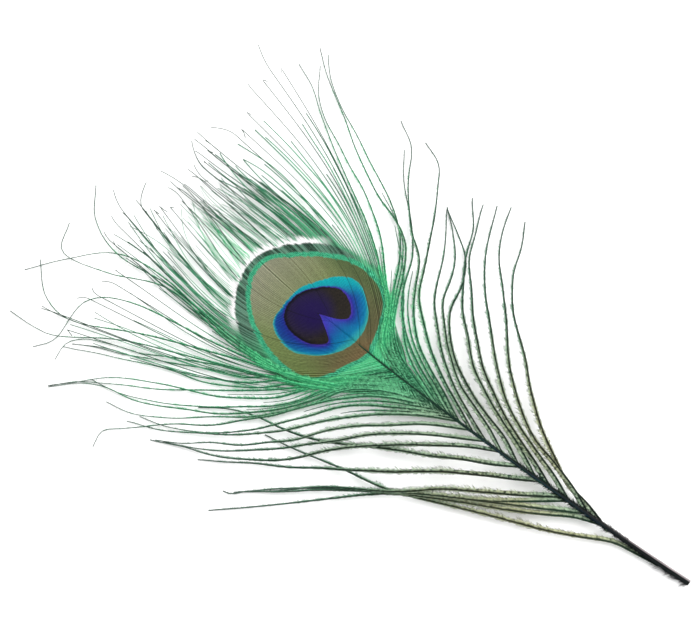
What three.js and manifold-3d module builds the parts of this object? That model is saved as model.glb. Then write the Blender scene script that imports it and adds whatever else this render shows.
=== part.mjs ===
// A peacock's eye feather, cut short and lying on its back vane: a bowed shaft, the close vane that
// carries the eye, and the loose barbs on both sides and over the crown. It grew as one piece, so
// everything is fused into one solid. Millimetres; the shaft runs along +Y from its cut end, the
// face of the feather looks up +Z, and it rests on z = 0.

import * as THREE from "three";
import { mergeVertices } from "three/addons/utils/BufferGeometryUtils.js";
import Module from "manifold-3d";

// The shaft: a tapered stalk that bows to the left and lifts off the ground below the eye.
const SHAFT_LENGTH = 151;
const SHAFT_RADIUS = 1.05;
const SHAFT_TIP_RADIUS = 0.3;
const SHAFT_TAPER = 0.8;
const SHAFT_BOW = 2.4;
const SHAFT_LIFT = 4.2;
const SHAFT_LIFT_SHARPNESS = 1.5;
const SHAFT_SIDES = 8;
const SHAFT_STEPS = 14;
const LOWEST_BARB = 24;
const SIDE_STAGGER = 2.2;
const EYE_BASE = 128;

// The close vane: a thin flat leaf, given by the half width of each side at heights up the shaft.
const VANE_THICKNESS = 0.6;
const VANE_CURVE_SEGMENTS = 4;
const BED_HEIGHT = VANE_THICKNESS / 3;
const VANE_FOOT = 100;
const VANE_TOP = 182;
const VANE_LEFT = [[6, 112], [14, 124], [21, 137], [24, 150], [23, 163], [17, 174], [8, 180.5]];
const VANE_RIGHT = [[8, 180], [14, 174], [20, 165], [23, 154], [21, 142], [13, 126], [5, 112]];

// Locks of barbs: three-sided tapering blades with a flat underside. A loose barb arches over the
// ground and comes down at its tip, a crown barb rises past the eye, and a stray rides over both.
const LOCK_SIDES = 3;
const LOCK_STEPS = 8;
const STRAY_STEPS = 13;
const LOCK_WIDTHS = [[0, 0.8], [0.25, 1.5], [0.7, 1.1], [1, 0.45]];
const LOCK_HEIGHT = 1.1;
const LOCK_TIP_HEIGHT = 0.4;
const TIP_CLEARANCE = 0.3;
const BARB_RISE = 1.6;
const BARB_FALL = 2.6;
const CROWN_FALL = 2.4;
const CROWN_TIP_HEIGHT = 1.2;
const STRAY_ARCH = 3.2;
const HANDLE = 0.4;

// Space between the roots of neighbouring locks at heights up the shaft. The left side is wider
// where the strays come out between the locks.
const LEFT_SPACING = [[LOWEST_BARB, 4.7], [75, 4.4], [100, 4.4], [EYE_BASE, 3.8], [SHAFT_LENGTH, 4.8]];
const RIGHT_SPACING = [[LOWEST_BARB, 4.7], [75, 4], [100, 3.4], [EYE_BASE, 3], [SHAFT_LENGTH, 4.8]];

// Guide barbs of each side. Every lock between two guides is a blend of them.
// root: height on the shaft; leaves: angle off the shaft; out, up: where the tip lies;
// leans: angle off the shaft's direction at the tip, outwards.
const LEFT_GUIDES = [
  { root: 24, leaves: 26, out: 75, up: 142, leans: 42 },
  { root: 42, leaves: 29, out: 68, up: 141, leans: 32 },
  { root: 58, leaves: 33, out: 64, up: 155, leans: 16 },
  { root: 75, leaves: 36, out: 67, up: 188, leans: 8 },
  { root: 90, leaves: 39, out: 69, up: 196, leans: 22 },
  { root: 103, leaves: 43, out: 74, up: 210, leans: 36 },
  { root: 113, leaves: 46, out: 58, up: 216, leans: 20 },
  { root: 120, leaves: 50, out: 46, up: 218, leans: 12 },
  { root: 125, leaves: 55, out: 35, up: 212, leans: 6 },
  { root: 129, leaves: 62, out: 22, up: 222, leans: -2 },
  { root: 135, leaves: 54, out: 13, up: 226, leans: -12 },
  { root: 142, leaves: 42, out: 4, up: 218, leans: -16 },
  { root: 148, leaves: 24, out: -4, up: 212, leans: -14 },
];
const RIGHT_GUIDES = [
  { root: 24, leaves: 14, out: 66, up: 112, leans: 62 },
  { root: 42, leaves: 21, out: 73, up: 130, leans: 48 },
  { root: 58, leaves: 28, out: 73, up: 153, leans: 24 },
  { root: 75, leaves: 34, out: 71, up: 168, leans: 12 },
  { root: 90, leaves: 39, out: 73, up: 194, leans: 18 },
  { root: 103, leaves: 43, out: 75, up: 208, leans: 32 },
  { root: 113, leaves: 46, out: 66, up: 214, leans: 24 },
  { root: 120, leaves: 50, out: 50, up: 219, leans: 12 },
  { root: 125, leaves: 55, out: 38, up: 212, leans: 8 },
  { root: 129, leaves: 62, out: 28, up: 211, leans: 6 },
  { root: 135, leaves: 54, out: 22, up: 217, leans: 4 },
  { root: 142, leaves: 42, out: 14, up: 211, leans: 4 },
  { root: 148, leaves: 24, out: 8, up: 212, leans: 6 },
];

// Barbs that leave their neighbours: two that cross the left side, and the curled wisps above it.
const STRAYS = [
  [[-2, 47], [-16, 66], [-27, 84], [-34, 96], [-38, 114], [-42, 130], [-44, 141]],
  [[-2, 80], [-20, 102], [-31, 117], [-36, 127], [-39, 140], [-44, 153], [-50, 165]],
  [[-2, 83], [-22, 113], [-42, 137], [-60, 165], [-70, 178], [-76, 185.5], [-82, 185]],
  [[-2, 107], [-18, 129], [-31, 160], [-41, 190], [-50, 206], [-58, 213], [-66, 213]],
  [[-2, 109], [-20, 134], [-35, 169], [-47, 198], [-59, 217], [-61.5, 226], [-62, 236]],
  [[-2, 111], [-18, 134], [-30, 165], [-41, 193], [-52, 216], [-51, 229], [-42, 239]],
  [[-2, 117], [-18, 137], [-28, 170], [-35, 203], [-44, 217], [-60, 217.5], [-67, 222]],
  [[-2, 123], [-16, 138], [-22, 168], [-21.5, 200], [-25, 219], [-37, 232], [-48, 241]],
  [[-2, 122], [-17, 138], [-23, 168], [-23, 196], [-32, 217], [-35.5, 234], [-26, 239]],
  [[-2, 126], [-17, 139], [-22, 166], [-23, 195], [-25, 218], [-20, 232], [-10, 240]],
];

const UP = new THREE.Vector3(0, 0, 1);

// A value read off a list of [place, value] stations.
function between(stations, place) {
  const next = stations.findIndex(([at]) => at >= place);
  if (next === 0) return stations[0][1];
  if (next < 0) return stations[stations.length - 1][1];
  const [a, from] = stations[next - 1];
  const [b, to] = stations[next];
  return THREE.MathUtils.mapLinear(place, a, b, from, to);
}

function shaftRadius(y) {
  const share = (y / SHAFT_LENGTH) ** SHAFT_TAPER;
  return THREE.MathUtils.lerp(SHAFT_RADIUS, SHAFT_TIP_RADIUS, share);
}

// How high the shaft's underside lies at a height on the shaft: it lifts between the cut end and
// the eye, and lies in the vane's thickness above that.
function lift(y) {
  const rise = Math.max(0, Math.sin((Math.PI * y) / EYE_BASE));
  return BED_HEIGHT + SHAFT_LIFT * rise ** SHAFT_LIFT_SHARPNESS;
}

function shaftAt(y) {
  const x = -SHAFT_BOW * Math.sin((Math.PI * y) / SHAFT_LENGTH);
  return new THREE.Vector3(x, y, lift(y));
}

// A unit cylinder bent along a line: width and height give the section at each share of its length,
// and the line is the middle of its underside.
function sweep(pointAt, tangentAt, width, height, sides, steps) {
  const tube = new THREE.CylinderGeometry(1, 1, 1, sides, steps);
  tube.computeBoundingBox();
  const { min, max } = tube.boundingBox;
  const places = tube.getAttribute("position");
  for (let i = 0; i < places.count; i += 1) {
    const share = THREE.MathUtils.clamp(places.getY(i) + 0.5, 0, 1);
    const aside = (places.getX(i) / max.x) * (width(share) / 2);
    const above = ((places.getZ(i) - min.z) / (max.z - min.z)) * height(share);
    const across = tangentAt(share).cross(UP).normalize();
    const place = pointAt(share).addScaledVector(across, aside).addScaledVector(UP, above);
    places.setXYZ(i, place.x, place.y, place.z);
  }
  return tube;
}

function shaft() {
  const along = (share) => shaftAt(share * SHAFT_LENGTH);
  const direction = (share) => along(share + 0.01).sub(along(share));
  const thickness = (share) => 2 * shaftRadius(share * SHAFT_LENGTH);
  return sweep(along, direction, thickness, thickness, SHAFT_SIDES, SHAFT_STEPS);
}

// The flat leaf of the close vane.
function vane() {
  const outline = new THREE.Shape();
  outline.moveTo(0, VANE_FOOT);
  const left = VANE_LEFT.map(([out, up]) => new THREE.Vector2(-out, up));
  const right = VANE_RIGHT.map(([out, up]) => new THREE.Vector2(out, up));
  outline.splineThru([...left, new THREE.Vector2(0, VANE_TOP), ...right, new THREE.Vector2(0, VANE_FOOT)]);
  return new THREE.ExtrudeGeometry(outline, {
    depth: VANE_THICKNESS,
    bevelEnabled: false,
    curveSegments: VANE_CURVE_SEGMENTS,
  });
}

function lock(line, steps) {
  const width = (share) => between(LOCK_WIDTHS, share);
  const height = (share) => THREE.MathUtils.lerp(LOCK_HEIGHT, LOCK_TIP_HEIGHT, share);
  const pointAt = (share) => line.getPoint(share);
  const tangentAt = (share) => line.getTangent(share);
  return sweep(pointAt, tangentAt, width, height, LOCK_SIDES, steps);
}

// The guide for a root height: the values of the guides on either side, blended.
function guideAt(guides, root) {
  const read = (name) => between(guides.map((guide) => [guide.root, guide[name]]), root);
  return { root, leaves: read("leaves"), out: read("out"), up: read("up"), leans: read("leans") };
}

// A barb's line: a curve that leaves the shaft at one angle and ends at the tip at another.
function barbLine(guide, side) {
  const from = shaftAt(guide.root);
  const inEye = guide.root >= EYE_BASE;
  const tipHeight = inEye ? CROWN_TIP_HEIGHT : TIP_CLEARANCE;
  const tip = new THREE.Vector3(side * guide.out, guide.up, tipHeight);
  const reach = HANDLE * from.distanceTo(tip);
  const heading = (degrees, rise) => {
    const angle = THREE.MathUtils.degToRad(degrees);
    return new THREE.Vector3(side * Math.sin(angle) * reach, Math.cos(angle) * reach, rise);
  };
  const first = from.clone().add(heading(guide.leaves, inEye ? 0 : BARB_RISE));
  const second = tip.clone().sub(heading(guide.leans, inEye ? -CROWN_FALL : -BARB_FALL));
  return new THREE.CubicBezierCurve3(from, first, second, tip);
}

// A stray's line runs through its own points, and comes down to its tip.
function strayLine(points) {
  const last = points.length - 1;
  const root = shaftAt(points[0][1]);
  const places = points.map(([x, y], i) => {
    const share = i / last;
    const height = THREE.MathUtils.lerp(root.z, TIP_CLEARANCE, share);
    return new THREE.Vector3(x, y, height + STRAY_ARCH * Math.sin(Math.PI * share));
  });
  places[0].copy(root);
  return new THREE.CatmullRomCurve3(places);
}

// The locks of one side, from the lowest root up to the shaft's tip.
function sideLocks(guides, spacing, side, lowest) {
  const locks = [];
  for (let root = lowest; root < SHAFT_LENGTH; root += between(spacing, root)) {
    locks.push(lock(barbLine(guideAt(guides, root), side), LOCK_STEPS));
  }
  return locks;
}

const wasm = await Module();
wasm.setup();

function solidOf(geometry) {
  const bare = geometry.clone();
  bare.deleteAttribute("normal");
  bare.deleteAttribute("uv");
  const merged = mergeVertices(bare, 1e-4);
  return new wasm.Manifold(
    new wasm.Mesh({
      numProp: 3,
      vertProperties: merged.getAttribute("position").array,
      triVerts: new Uint32Array(merged.index.array),
    }),
  );
}

// The whole feather as one closed surface.
function fused(geometries) {
  const whole = geometries.map(solidOf).reduce((sum, next) => sum.add(next));
  const { vertProperties, triVerts } = whole.getMesh();
  const geometry = new THREE.BufferGeometry();
  geometry.setAttribute("position", new THREE.BufferAttribute(vertProperties, 3));
  geometry.setIndex(new THREE.BufferAttribute(triVerts, 1));
  geometry.computeVertexNormals();
  return geometry;
}

const featherKeratin = new THREE.MeshStandardMaterial({
  color: 0x2f7d57,
  roughness: 0.5,
  metalness: 0.3,
});

const forms = [
  vane(),
  shaft(),
  ...sideLocks(LEFT_GUIDES, LEFT_SPACING, -1, LOWEST_BARB),
  ...sideLocks(RIGHT_GUIDES, RIGHT_SPACING, 1, LOWEST_BARB + SIDE_STAGGER),
  ...STRAYS.map((points) => lock(strayLine(points), STRAY_STEPS)),
];

const feather = new THREE.Mesh(fused(forms), featherKeratin);
feather.name = "feather";

// The origin is under the middle of the feather, on the ground.
feather.geometry.computeBoundingBox();
const middle = feather.geometry.boundingBox.getCenter(new THREE.Vector3());
feather.position.set(-middle.x, -middle.y, 0);

const part = new THREE.Group();
part.add(feather);

export default part;
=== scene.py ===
"""A peacock's eye feather, cut short and laid face up on a pale surface: the shaft, the loose barbs of
both sides, the down on the shaft, the strays, and the eye with its crown of barbs and wisps."""

import math

import bpy
import numpy as np
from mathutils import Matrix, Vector


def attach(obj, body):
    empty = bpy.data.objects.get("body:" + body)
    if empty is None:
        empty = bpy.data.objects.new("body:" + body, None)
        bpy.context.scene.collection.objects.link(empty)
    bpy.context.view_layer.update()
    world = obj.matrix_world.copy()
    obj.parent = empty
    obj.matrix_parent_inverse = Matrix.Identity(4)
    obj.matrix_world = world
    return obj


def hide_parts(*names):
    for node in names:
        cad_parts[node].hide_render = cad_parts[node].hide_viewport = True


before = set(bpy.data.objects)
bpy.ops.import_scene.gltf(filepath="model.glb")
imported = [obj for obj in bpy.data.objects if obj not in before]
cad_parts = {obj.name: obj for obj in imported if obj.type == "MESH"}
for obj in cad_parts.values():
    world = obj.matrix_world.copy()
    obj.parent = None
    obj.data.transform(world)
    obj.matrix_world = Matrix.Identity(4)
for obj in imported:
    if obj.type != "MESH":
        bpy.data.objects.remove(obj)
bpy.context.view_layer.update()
bpy.ops.object.select_all(action="DESELECT")


# The feather's own measure. It is laid out in millimetres from the middle of the shaft's cut end,
# with y up the shaft, x to the right of it and z up off the ground.
MM = 0.001
CUT_FACE = 0.3 * MM

solid_corners = np.array([corner.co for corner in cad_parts["feather"].data.vertices])
cut_face = solid_corners[solid_corners[:, 1] < solid_corners[:, 1].min() + CUT_FACE]
CUT_X = float(cut_face[:, 0].min() + cut_face[:, 0].max()) / 2
CUT_Y = float(cut_face[:, 1].min())


def in_frame(places):
    """Feather millimetres as the frame's metres."""
    return np.asarray(places) * MM + (CUT_X, CUT_Y, 0)


# The surface it lies on, the light and the camera. The camera looks almost straight down, from the
# lower left of the feather, and the light comes softly from its upper right.
FLOOR_SIZE = 3
FLOOR_WHITE = (0.96, 0.96, 0.96, 1)
FLOOR_ROUGHNESS = 0.7
FLOOR_GLOSS = 0.2
FLOOR_GLOW = 0.12
ROOM_GLOW = 0.62
WHITE = (1, 1, 1, 1)
LOOK_AT = (7.03, 143.4, 0)
CAMERA_AZIMUTH = math.radians(-53.45)
CAMERA_ELEVATION = math.radians(80)
CAMERA_DISTANCE = 463 * MM
LENS = 70
NEAREST_SEEN = 0.01

bpy.ops.mesh.primitive_plane_add(size=FLOOR_SIZE)
floor = bpy.context.object
floor.name = "floor"
floor.data.materials.append(bpy.data.materials.new("pale_floor"))
floor.data.materials[0].use_nodes = True
floor_shader = floor.data.materials[0].node_tree.nodes["Principled BSDF"]
floor_shader.inputs["Base Color"].default_value = FLOOR_WHITE
floor_shader.inputs["Roughness"].default_value = FLOOR_ROUGHNESS
floor_shader.inputs["Specular IOR Level"].default_value = FLOOR_GLOSS
floor_shader.inputs["Emission Color"].default_value = WHITE
floor_shader.inputs["Emission Strength"].default_value = FLOOR_GLOW

look_at = Vector(in_frame(LOOK_AT))
ahead = Vector((-math.sin(CAMERA_AZIMUTH), math.cos(CAMERA_AZIMUTH), 0)) * math.cos(CAMERA_ELEVATION)
ahead.z = -math.sin(CAMERA_ELEVATION)
bpy.ops.object.camera_add(location=look_at - CAMERA_DISTANCE * ahead)
camera = bpy.context.object
camera.rotation_euler = ahead.to_track_quat("-Z", "Y").to_euler()
camera.data.lens = LENS
camera.data.clip_start = NEAREST_SEEN
bpy.context.scene.camera = camera


def softbox(name, place, size, power):
    """A square lamp that faces the feather, with its place counted from where the camera looks."""
    bpy.ops.object.light_add(type="AREA", location=look_at + Vector(place))
    lamp = bpy.context.object
    lamp.name = name
    lamp.data.size = size
    lamp.data.energy = power
    lamp.rotation_euler = (look_at - lamp.location).to_track_quat("-Z", "Y").to_euler()


softbox("key_light", place=(0.75, -0.1, 1.1), size=1.1, power=19)
softbox("fill_light", place=(-0.9, 0.4, 1.2), size=1.6, power=5)

world = bpy.data.worlds.new("white_room")
world.use_nodes = True
world.node_tree.nodes["Background"].inputs["Color"].default_value = WHITE
world.node_tree.nodes["Background"].inputs["Strength"].default_value = ROOM_GLOW
bpy.context.scene.world = world
bpy.context.scene.view_settings.view_transform = "Standard"


# The shaft. A dark horny stalk with a white pith, pale down its right side near the cut end. It bows
# to the left, lifts off the ground below the eye, and thins away under the barbs of the eye.
SHAFT_LENGTH = 151
SHAFT_RADIUS = 1.05
SHAFT_TIP_RADIUS = 0.12
SHAFT_TAPER = 0.8
SHAFT_BOW = 2.4
SHAFT_LIFT = 4.2
SHAFT_LIFT_SHARPNESS = 1.5
SHAFT_BED = 0.2
EYE_BASE = 128
SHAFT_SIDES = 20
SHAFT_CUTS = 90
SHAFT_CREASE = math.radians(50)
STANDING = 0.5
FACING_DOWN = -0.9
PITH_REACH = 0.86
PITH_DEPTH = 0.002
PITH_RIM = 0.3
HAIR_GLOSS = 0.15
FIBRE_DEPTH = 0.08 * MM


def shaft_radius(y):
    """The shaft's half thickness at a height up it."""
    share = (np.clip(y, 0, SHAFT_LENGTH) / SHAFT_LENGTH) ** SHAFT_TAPER
    return SHAFT_RADIUS + (SHAFT_TIP_RADIUS - SHAFT_RADIUS) * share


def shaft_at(y):
    """The middle of the shaft at a height up it."""
    y = np.asarray(y, float)
    rise = np.clip(np.sin(np.pi * y / EYE_BASE), 0, 1) * (y < EYE_BASE)
    x = -SHAFT_BOW * np.sin(np.pi * y / SHAFT_LENGTH)
    z = SHAFT_BED + SHAFT_LIFT * rise**SHAFT_LIFT_SHARPNESS + shaft_radius(y)
    return np.stack([x, y, z], -1)


def paint(red, green, blue):
    """A colour given as a painter reads it off a chart, 0 to 255, as the linear light it stands for."""
    chart = np.array([red, green, blue]) / 255
    linear = np.where(chart > 0.04045, ((chart + 0.055) / 1.055) ** 2.4, chart / 12.92)
    return (*linear.tolist(), 1)


class Wire:
    """A number on its way through a material's nodes, so that a pattern reads as arithmetic."""

    def __init__(self, finish, socket):
        self.finish = finish
        self.socket = socket

    def maths(self, operation, first, second=0.0):
        return self.finish.add("ShaderNodeMath", {"operation": operation}, {0: first, 1: second})

    def __add__(self, other):
        return self.maths("ADD", self, other)

    def __sub__(self, other):
        return self.maths("SUBTRACT", self, other)

    def __mul__(self, other):
        return self.maths("MULTIPLY", self, other)

    def __truediv__(self, other):
        return self.maths("DIVIDE", self, other)

    def __rsub__(self, other):
        return self.maths("SUBTRACT", other, self)

    __radd__ = __add__
    __rmul__ = __mul__

    def root(self):
        return self.maths("SQRT", self)

    def size(self):
        return self.maths("ABSOLUTE", self)

    def angle_off(self, other):
        return self.maths("ARCTAN2", self, other)

    def rises(self, low, high):
        """0 at low and 1 at high, with a smooth step between; low may be the larger one."""
        if low > high:
            return 1 - self.rises(high, low)
        values = {"Value": self, "From Min": low, "From Max": high}
        return self.finish.add("ShaderNodeMapRange", {"interpolation_type": "SMOOTHSTEP"}, values)


class Finish:
    """A material being made: its shader, and the one way to add a node to it."""

    def __init__(self, name):
        self.material = bpy.data.materials.new(name)
        self.material.use_nodes = True
        self.tree = self.material.node_tree
        self.shader = self.tree.nodes["Principled BSDF"]

    def feed(self, socket, value):
        if isinstance(value, Wire):
            self.tree.links.new(value.socket, socket)
        else:
            socket.default_value = value

    def add(self, kind, settings=None, values=None, result=0):
        node = self.tree.nodes.new(kind)
        for name, setting in (settings or {}).items():
            if name == "curve":
                draw_curve(node.mapping, setting)
            elif name == "stops":
                set_stops(node.color_ramp.elements, setting)
            else:
                setattr(node, name, setting)
        for key, value in (values or {}).items():
            self.feed(node.inputs[key], value)
        return Wire(self, node.outputs[result])

    def attribute(self, name):
        return self.add("ShaderNodeAttribute", {"attribute_name": name}, result="Fac")

    def place(self):
        """Where a point lies in the feather's own millimetres, as x, y and z."""
        here = self.add("ShaderNodeTexCoord", result="Object")
        apart = self.add("ShaderNodeSeparateXYZ", values={0: here})
        x, y, z = (Wire(self, socket) for socket in apart.socket.node.outputs)
        return (x - CUT_X) / MM, (y - CUT_Y) / MM, z / MM

    def distance(self, x, y, centre):
        """How far a point lies from a centre, on the ground plan."""
        across, up = x - centre[0], y - centre[1]
        return (across * across + up * up).root()

    def noise(self, x, y, scale, detail):
        """Fine unevenness from 0 to 1, about 0.5."""
        place = self.add("ShaderNodeCombineXYZ", None, {0: x, 1: y, 2: 0.0})
        return self.add("ShaderNodeTexNoise", None, {"Vector": place, "Scale": scale, "Detail": detail})

    def ramp(self, share, *stops):
        return self.add("ShaderNodeValToRGB", {"stops": stops}, {0: share})

    def mix(self, below, above, share):
        """One colour laid over another."""
        return self.add("ShaderNodeMix", {"data_type": "RGBA"}, {0: share, 6: below, 7: above}, result=2)

    def shade(self, colour, strength):
        """A colour made darker or lighter, where strength is 1 for no change."""
        grey = self.add("ShaderNodeCombineXYZ", None, {channel: strength for channel in range(3)})
        values = {0: 1.0, 6: colour, 7: grey}
        return self.add("ShaderNodeMix", {"data_type": "RGBA", "blend_type": "MULTIPLY"}, values, result=2)

    def set(self, **numbers):
        for name, number in numbers.items():
            self.feed(self.shader.inputs[name.replace("_", " ")], number)


def draw_curve(mapping, points):
    """Sets a curve node's points, which go from 0 to 1 across."""
    curve = mapping.curves[0]
    for place in points[1:-1]:
        curve.points.new(*place)
    for point, place in zip(curve.points, points):
        point.location = place
    mapping.update()


def set_stops(elements, stops):
    """Sets a ramp's stops, each a share of its length and the colour there."""
    for place, colour in stops[1:-1]:
        elements.new(place).color = colour
    for element, (place, colour) in ((elements[0], stops[0]), (elements[-1], stops[-1])):
        element.position = place
        element.color = colour


def shaft_finish():
    """Streaked black horn, green under the eye, with a painted blue glint low on the left and a bare pale
    strip.
    """
    horn = Finish("shaft_horn")
    x, y, z = horn.place()
    around = horn.attribute("across")
    streaks = horn.noise(around * 3, y * 0.05, 2.2, 4.0)
    fibres = horn.noise(around * 9, y * 0.12, 2.5, 2.0)
    dark = horn.mix(paint(4, 7, 8), paint(18, 27, 27), streaks.rises(0.4, 0.72))
    # Painted highlight: a blue glint streaked along the left side of the shaft, low down.
    painted_glint = around.rises(0, -0.6) * y.rises(24, 50) * y.rises(98, 75) * streaks.rises(0.36, 0.56)
    dark = horn.mix(dark, paint(20, 74, 100), painted_glint * 0.8)
    green = horn.mix(dark, paint(12, 56, 38), y.rises(70, 118))
    pale = around.rises(0.22, 0.42) * y.rises(48, 8)
    strip = horn.mix(paint(84, 80, 82), paint(178, 168, 170), streaks.rises(0.35, 0.65))
    covered = horn.mix(green, strip, pale)
    pith = horn.attribute("pith")
    horn.set(Base_Color=horn.mix(covered, paint(196, 188, 172), pith), Specular_IOR_Level=HAIR_GLOSS)
    horn.set(Roughness=0.4 + fibres * 0.25)
    bump = horn.add("ShaderNodeBump", None, {"Height": fibres, "Strength": 0.4, "Distance": FIBRE_DEPTH})
    horn.set(Normal=bump)
    return horn.material


def cut_along(cuts):
    """Cuts the standing edges of the new upright piece into short lengths."""
    piece = bpy.context.object
    bpy.ops.object.mode_set(mode="EDIT")
    bpy.ops.mesh.select_mode(type="EDGE")
    bpy.ops.mesh.select_all(action="DESELECT")
    bpy.ops.object.mode_set(mode="OBJECT")
    for edge in piece.data.edges:
        low, high = (piece.data.vertices[index].co.z for index in edge.vertices)
        edge.select = abs(low - high) > STANDING
    bpy.ops.object.mode_set(mode="EDIT")
    bpy.ops.mesh.subdivide(number_cuts=cuts)
    bpy.ops.object.mode_set(mode="OBJECT")


def make_shaft():
    """A cylinder with the pith sunk into its lower end, then drawn out along the shaft's line."""
    bpy.ops.mesh.primitive_cylinder_add(vertices=SHAFT_SIDES, radius=1, depth=1)
    shaft = bpy.context.object
    shaft.name = "shaft"
    cut_along(SHAFT_CUTS)
    mesh = shaft.data
    bpy.ops.object.mode_set(mode="EDIT")
    bpy.ops.mesh.select_mode(type="FACE")
    bpy.ops.mesh.select_all(action="DESELECT")
    bpy.ops.object.mode_set(mode="OBJECT")
    for face in mesh.polygons:
        face.select = face.normal.z < FACING_DOWN
    bpy.ops.object.mode_set(mode="EDIT")
    bpy.ops.mesh.inset(thickness=1 - PITH_REACH)
    bpy.ops.mesh.extrude_region_move(TRANSFORM_OT_translate={"value": (0, 0, PITH_DEPTH)})
    bpy.ops.mesh.inset(thickness=PITH_RIM)
    bpy.ops.object.mode_set(mode="OBJECT")

    places = np.array([corner.co for corner in mesh.vertices])
    heights = (places[:, 2] + 0.5) * SHAFT_LENGTH
    middle = shaft_at(heights)
    radius = shaft_radius(heights)
    middle[:, 0] += places[:, 0] * radius
    middle[:, 2] += places[:, 1] * radius
    mesh.vertices.foreach_set("co", in_frame(middle).ravel())
    mesh.flip_normals()
    across = mesh.attributes.new("across", "FLOAT", "POINT")
    across.data.foreach_set("value", places[:, 0])
    pith = mesh.attributes.new("pith", "FLOAT", "POINT")
    inside = np.hypot(places[:, 0], places[:, 1]) < PITH_REACH + 0.01
    pith.data.foreach_set("value", inside.astype(float))
    bpy.ops.object.shade_smooth_by_angle(angle=SHAFT_CREASE)
    mesh.materials.append(shaft_finish())
    return shaft


shaft = make_shaft()
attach(shaft, "root")
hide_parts("feather")


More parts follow.
